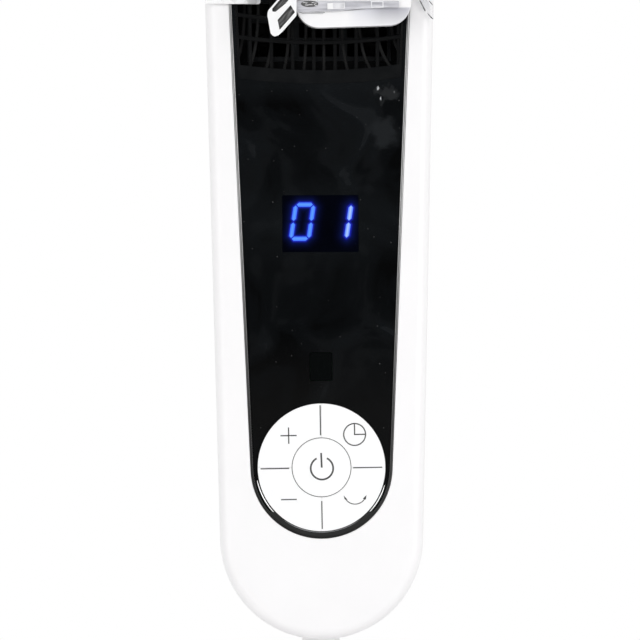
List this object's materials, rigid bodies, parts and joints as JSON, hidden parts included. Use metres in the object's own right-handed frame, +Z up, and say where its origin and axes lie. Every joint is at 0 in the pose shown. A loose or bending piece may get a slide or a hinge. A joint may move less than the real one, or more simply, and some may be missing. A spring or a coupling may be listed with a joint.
{
  "type": "ceramic tower heater",
  "caption": "Slim upright ceramic fan heater on a round swivelling base, with a round key pad, a digital read-out and a clip-on water cup in front of the outlet.",
  "frame": {"origin": "on the floor, on the swivel axis, at the centre of the round base", "axes": "+Z up along the swivel axis; the front, with the outlet and the keys, faces -Y; +X is to the right seen from the front"},
  "size_m": [0.19, 0.19, 0.5565],
  "materials": {
    "shell_white": "smooth satin-gloss white moulding",
    "key_white": "fine matte white",
    "fascia_black": "high-gloss black",
    "grille_black": "satin black",
    "trim_metal": "bright plated line",
    "smoked_lens": "smoked, nearly opaque",
    "clear_plastic": "clear moulding",
    "cup_white": "thin translucent white moulding",
    "dark_plastic": "fine dark texture",
    "heatproof": "black heat-proof resin",
    "aluminium_fins": "thin fins with a dark coat",
    "steel": "plain zinc-plated steel",
    "nylon": "natural nylon",
    "circuit_board": "green board with its parts",
    "rubber": "dull black rubber"
  },
  "bodies": {
    "base": {"base_cover": "shell_white", "base_plate": "dark_plastic", "base_screw_1": "steel", "base_screw_2": "steel", "base_screw_3": "steel", "rubber_foot_1": "rubber", "rubber_foot_2": "rubber", "rubber_foot_3": "rubber", "rubber_foot_4": "rubber", "bearing_ring": "nylon", "cord_gland": "rubber", "tip_switch": "dark_plastic", "plunger_spring": "steel", "swing_motor": "steel"},
    "plunger": {"tip_plunger": "nylon"},
    "pinion": {"swing_pinion": "nylon"},
    "column": {"swivel_neck": "shell_white", "gear_sector": "nylon", "front_shell": "shell_white", "rear_shell": "shell_white", "shell_screw_1": "steel", "shell_screw_2": "steel", "shell_screw_3": "steel", "shell_screw_4": "steel", "handle_recess": "dark_plastic", "fascia_trim": "trim_metal", "fascia": "fascia_black", "display_lens": "smoked_lens", "receiver_window": "smoked_lens", "outlet_grille": "grille_black", "inner_guard": "grille_black", "keypad_mat": "rubber", "keypad_tray": "dark_plastic", "display_module": "smoked_lens", "infrared_receiver": "dark_plastic", "control_board": "circuit_board", "power_board": "circuit_board", "ptc_frame": "heatproof", "ptc_core": "aluminium_fins", "thermal_cutout": "steel", "air_duct": "heatproof", "fan_motor": "steel", "upper_bearing": "nylon", "blower_housing": "dark_plastic", "carrier_band": "clear_plastic"},
    "fan": {"fan_wheel": "dark_plastic", "fan_shaft": "steel"},
    "key_power": {"power_key": "key_white"},
    "key_timer": {"timer_key": "key_white"},
    "key_plus": {"plus_key": "key_white"},
    "key_minus": {"minus_key": "key_white"},
    "key_swing": {"swing_key": "key_white"},
    "filter": {"filter_cover": "shell_white", "dust_filter": "dark_plastic"},
    "cup": {"cup_body": "cup_white", "cup_sight_strip": "clear_plastic"},
    "lid": {"cup_lid": "clear_plastic"},
    "latch": {"cup_latch": "cup_white"}
  },
  "joints": [
    {"name": "column_swing", "type": "hinge", "parent": "base", "child": "column", "pos_m": [0, 0, 0.03], "axis": [0, 0, 1], "range_deg": [-35, 35]},
    {"name": "pinion_turn", "type": "hinge", "parent": "base", "child": "pinion", "pos_m": [0, -0.054, 0.024], "axis": [0, 0, 1], "range_deg": [-178, 178]},
    {"name": "fan_spin", "type": "hinge", "parent": "column", "child": "fan", "pos_m": [0, 0.014, 0.42], "axis": [0, 0, 1], "continuous": true},
    {"name": "power_press", "type": "slide", "parent": "column", "child": "key_power", "axis": [0, 1, 0], "range_m": [0, 0.0008], "stiffness_N_per_m": 800},
    {"name": "timer_press", "type": "slide", "parent": "column", "child": "key_timer", "axis": [0, 1, 0], "range_m": [0, 0.0008], "stiffness_N_per_m": 800},
    {"name": "plus_press", "type": "slide", "parent": "column", "child": "key_plus", "axis": [0, 1, 0], "range_m": [0, 0.0008], "stiffness_N_per_m": 800},
    {"name": "minus_press", "type": "slide", "parent": "column", "child": "key_minus", "axis": [0, 1, 0], "range_m": [0, 0.0008], "stiffness_N_per_m": 800},
    {"name": "swing_press", "type": "slide", "parent": "column", "child": "key_swing", "axis": [0, 1, 0], "range_m": [0, 0.0008], "stiffness_N_per_m": 800},
    {"name": "filter_pull", "type": "slide", "parent": "column", "child": "filter", "axis": [0, 1, 0], "range_m": [0, 0.04]},
    {"name": "plunger_slide", "type": "slide", "parent": "base", "child": "plunger", "axis": [0, 0, 1], "range_m": [-0.0035, 0], "stiffness_N_per_m": 40, "springref_m": -0.006, "deforming": ["plunger_spring"]},
    {"name": "cup_pull", "type": "slide", "parent": "column", "child": "cup", "axis": [0, -1, 0], "range_m": [0, 0.03]},
    {"name": "lid_hinge", "type": "hinge", "parent": "cup", "child": "lid", "pos_m": [0.01665, -0.057, 0.4086], "axis": [-0.9996, 0, -0.0279], "range_deg": [0, 75]},
    {"name": "latch_turn", "type": "hinge", "parent": "cup", "child": "latch", "pos_m": [-0.0094, -0.075, 0.3986], "axis": [0, 1, 0], "range_deg": [-40, 60]}
  ],
  "couplings": [
    {"joint": "pinion_turn", "follows": "column_swing", "ratio": -5}
  ]
}
